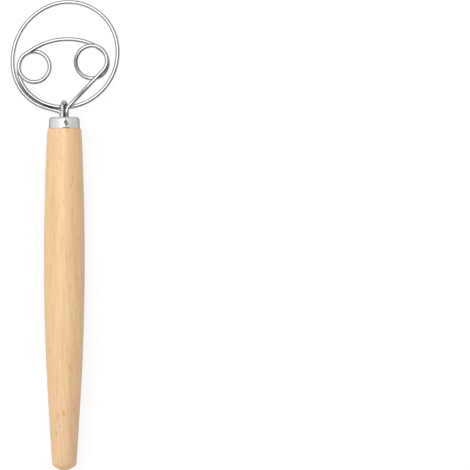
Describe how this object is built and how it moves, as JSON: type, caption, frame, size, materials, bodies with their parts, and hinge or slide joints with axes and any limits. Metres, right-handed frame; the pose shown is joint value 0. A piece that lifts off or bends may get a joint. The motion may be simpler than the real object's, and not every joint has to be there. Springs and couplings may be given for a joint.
{
  "type": "dough whisk",
  "caption": "Dough whisk for mixing stiff dough: a flat ring of steel wire with coiled eyes inside it, bound by a wire hook and held in a turned beech handle by a staked steel ferrule.",
  "frame": {"origin": "middle of the part's box in X and Y, on the surface that the handle's belly rests on", "axes": "+Y from the butt to the ring, +Z away from the surface the part lies on, +X to the right of the dent as it faces the viewer"},
  "size_m": [0.079, 0.3402, 0.0295],
  "materials": {
    "wood": "satin",
    "ferrule_steel": "satin",
    "wire_steel": "polished",
    "glue": "gloss"
  },
  "bodies": {
    "root": {"handle": "wood", "ferrule": "ferrule_steel", "whisk_wire": "wire_steel", "binding_hook": "wire_steel", "glue_plug": "glue"}
  },
  "joints": []
}
